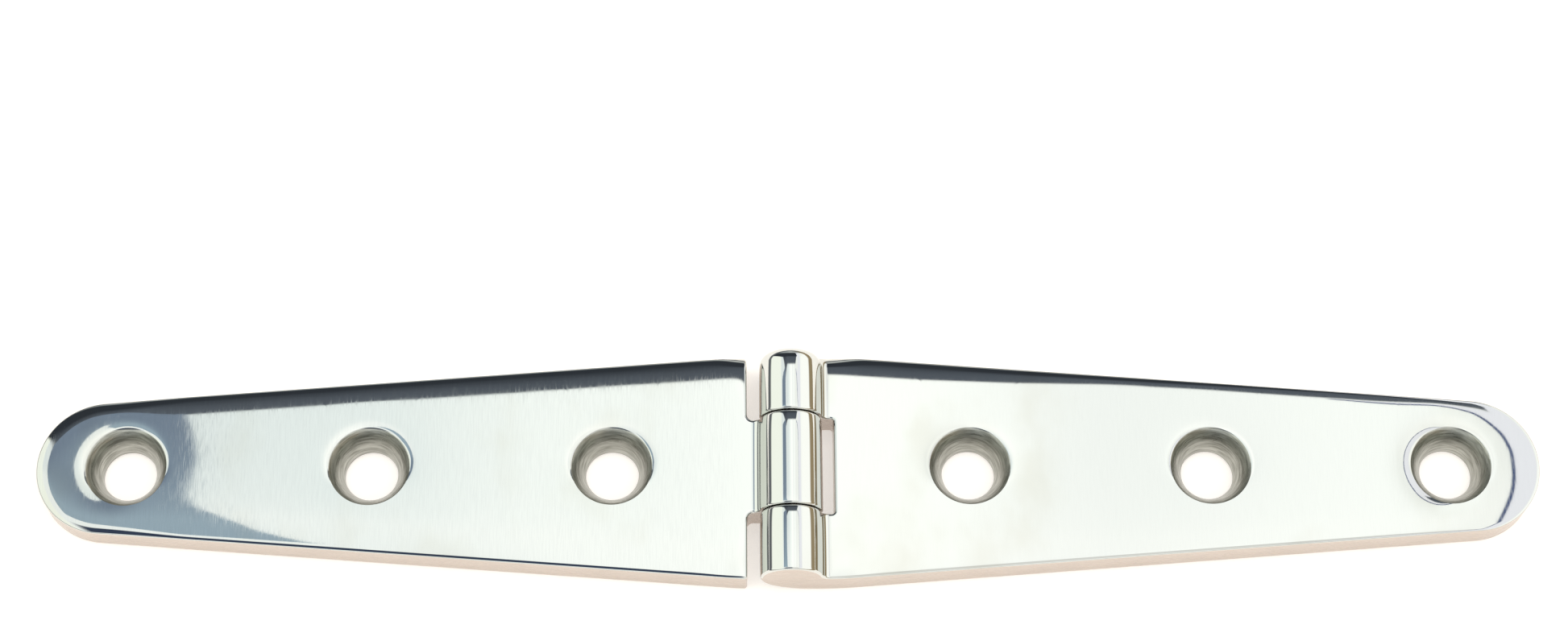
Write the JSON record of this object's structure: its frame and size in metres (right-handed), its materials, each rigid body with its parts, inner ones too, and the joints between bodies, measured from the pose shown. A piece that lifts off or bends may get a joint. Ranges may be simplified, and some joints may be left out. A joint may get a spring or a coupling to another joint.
{
  "type": "strap hinge",
  "caption": "Flat cast stainless strap hinge: two tapered, round-ended leaves with countersunk screw holes, joined by a short barrel round a hidden pin.",
  "frame": {"origin": "on the plane of both leaves' backs, under the middle of the barrel", "axes": "+X along the opened hinge's length, towards the leaf with two knuckles; +Y along the pin; +Z out of the polished front"},
  "size_m": [0.178, 0.0278, 0.0082],
  "materials": {
    "polished_stainless": "mirror polished front and barrel, satin sides, rough as-cast back with grinding marks",
    "pin_steel": "drawn bar"
  },
  "bodies": {
    "right_leaf_body": {"right_leaf": "polished_stainless", "hinge_pin": "pin_steel"},
    "left_leaf_body": {"left_leaf": "polished_stainless"}
  },
  "joints": [
    {"name": "leaf_fold", "type": "hinge", "parent": "right_leaf_body", "child": "left_leaf_body", "pos_m": [0, 0, 0.00445], "axis": [0, 1, 0], "range_deg": [-94, 180]}
  ]
}
